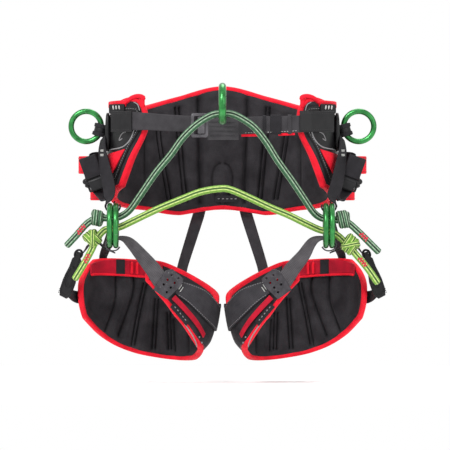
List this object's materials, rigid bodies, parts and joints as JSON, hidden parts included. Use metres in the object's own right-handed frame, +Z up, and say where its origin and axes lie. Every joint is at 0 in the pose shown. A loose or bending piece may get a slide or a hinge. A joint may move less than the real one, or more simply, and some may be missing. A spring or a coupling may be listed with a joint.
{
  "type": "climbing harness",
  "caption": "Work-positioning climbing harness: padded hip belt, side rings, rope bridges between lower ring pairs, and padded leg loops, shown as worn.",
  "frame": {"origin": "centre of the waist opening, at the mount wearer_waist", "axes": "+X is to the right as seen from the front, +Y points to the wearer's back, +Z is up"},
  "size_m": [0.5188, 0.3242, 0.4431],
  "materials": {
    "pad_fabric": "matt black spacer fabric over foam, with sewn channels",
    "binding": "bright red woven binding tape",
    "leatherette": "black grained synthetic leather",
    "black_webbing": "black woven polyamide webbing",
    "grey_webbing": "charcoal woven polyester webbing",
    "green_alloy": "green anodised forged aluminium",
    "dark_rope": "dark green braided sheath with pale tracer strands",
    "light_rope": "lime green braided sheath with yellow and dark tracers",
    "grey_alloy": "grey anodised aluminium",
    "black_plastic": "black moulded polyamide"
  },
  "bodies": {
    "hip_belt": {"back_pad": "pad_fabric", "pad_binding": "binding", "back_webbing": "black_webbing", "left_side_panel": "leatherette", "right_side_panel": "leatherette", "left_slot_plate": "black_plastic", "right_slot_plate": "black_plastic", "left_accent_panel": "binding", "right_accent_panel": "binding", "left_hip_webbing": "black_webbing", "right_hip_webbing": "black_webbing", "left_ring_keeper": "black_webbing", "right_ring_keeper": "black_webbing", "left_adjuster_webbing": "black_webbing", "right_adjuster_webbing": "black_webbing", "left_adjuster_frame": "black_plastic", "right_adjuster_frame": "black_plastic", "left_gear_loops": "binding", "right_gear_loops": "binding", "left_waist_strap": "grey_webbing", "right_waist_strap": "grey_webbing", "left_dark_knot": "dark_rope", "right_dark_knot": "dark_rope", "left_light_knot": "light_rope", "right_light_knot": "light_rope", "left_riser_strap": "grey_webbing", "right_riser_strap": "grey_webbing", "waist_buckle_frame": "grey_alloy", "waist_patch": "grey_webbing", "dark_rope": "dark_rope", "light_rope": "light_rope"},
    "left_ring": {"left_side_ring": "green_alloy"},
    "left_ring_pair": {"left_lower_ring_outer": "green_alloy", "left_lower_ring_inner": "green_alloy"},
    "left_lever": {"left_adjuster_lever": "black_plastic"},
    "left_leg": {"left_leg_pad": "pad_fabric", "left_leg_binding": "binding", "left_leg_hem": "binding", "left_leg_webbing": "grey_webbing", "left_leg_plate": "black_plastic", "left_front_strap": "grey_webbing", "left_leg_side_strap": "black_webbing", "left_leg_buckle": "black_plastic"},
    "left_tongue": {"left_leg_tongue": "black_plastic"},
    "right_ring": {"right_side_ring": "green_alloy"},
    "right_ring_pair": {"right_lower_ring_outer": "green_alloy", "right_lower_ring_inner": "green_alloy"},
    "right_lever": {"right_adjuster_lever": "black_plastic"},
    "right_leg": {"right_leg_pad": "pad_fabric", "right_leg_binding": "binding", "right_leg_hem": "binding", "right_leg_webbing": "grey_webbing", "right_leg_plate": "black_plastic", "right_front_strap": "grey_webbing", "right_leg_side_strap": "black_webbing", "right_leg_buckle": "black_plastic"},
    "right_tongue": {"right_leg_tongue": "black_plastic"},
    "bridge": {"bridge_ring": "green_alloy"},
    "buckle_bar": {"waist_buckle_bar": "grey_alloy"}
  },
  "joints": [
    {"name": "left_ring_swing", "type": "hinge", "parent": "hip_belt", "child": "left_ring", "pos_m": [-0.19382, -0.036, 0.03079], "axis": [0.2588, 0, 0.9659], "range_deg": [-50, 60]},
    {"name": "left_ring_pair_turn", "type": "hinge", "parent": "hip_belt", "child": "left_ring_pair", "pos_m": [-0.173, -0.105, -0.121], "axis": [1, 0, 0], "continuous": true},
    {"name": "left_lever_open", "type": "hinge", "parent": "hip_belt", "child": "left_lever", "pos_m": [-0.20171, -0.0576, -0.0493], "axis": [0.9397, 0, 0.342], "range_deg": [-40, 0], "stiffness_Nm_per_rad": 0.02, "springref_deg": 5.73},
    {"name": "left_leg_swing", "type": "hinge", "parent": "hip_belt", "child": "left_leg", "pos_m": [-0.173, -0.105, -0.121], "axis": [1, 0, 0], "range_deg": [-8, 12], "stiffness_Nm_per_rad": 8, "springref_deg": 2.58, "deforming": ["left_riser_strap"]},
    {"name": "left_tongue_release", "type": "hinge", "parent": "left_leg", "child": "left_tongue", "pos_m": [-0.24294, -0.03, -0.19191], "axis": [0, 1, 0], "range_deg": [0, 40], "stiffness_Nm_per_rad": 0.02, "springref_deg": -5.73},
    {"name": "right_ring_swing", "type": "hinge", "parent": "hip_belt", "child": "right_ring", "pos_m": [0.19382, -0.036, 0.03079], "axis": [0.2588, 0, -0.9659], "range_deg": [-50, 60]},
    {"name": "right_ring_pair_turn", "type": "hinge", "parent": "hip_belt", "child": "right_ring_pair", "pos_m": [0.168, -0.105, -0.121], "axis": [1, 0, 0], "continuous": true},
    {"name": "right_lever_open", "type": "hinge", "parent": "hip_belt", "child": "right_lever", "pos_m": [0.20171, -0.0576, -0.0493], "axis": [0.9397, 0, -0.342], "range_deg": [-40, 0], "stiffness_Nm_per_rad": 0.02, "springref_deg": 5.73},
    {"name": "right_leg_swing", "type": "hinge", "parent": "hip_belt", "child": "right_leg", "pos_m": [0.168, -0.105, -0.121], "axis": [1, 0, 0], "range_deg": [-8, 12], "stiffness_Nm_per_rad": 8, "springref_deg": 2.58, "deforming": ["right_riser_strap"]},
    {"name": "right_tongue_release", "type": "hinge", "parent": "right_leg", "child": "right_tongue", "pos_m": [0.24294, -0.03, -0.19191], "axis": [0, -1, 0], "range_deg": [0, 40], "stiffness_Nm_per_rad": 0.02, "springref_deg": -5.73},
    {"name": "bridge_ring_swing", "type": "hinge", "parent": "hip_belt", "child": "bridge", "pos_m": [0, -0.165, 0.055], "axis": [1, 0, 0], "range_deg": [0, 150]},
    {"name": "waist_buckle_tilt", "type": "hinge", "parent": "hip_belt", "child": "buckle_bar", "pos_m": [-0.036, -0.127, 0.037], "axis": [0, 0, 1], "range_deg": [-60, 0]}
  ]
}
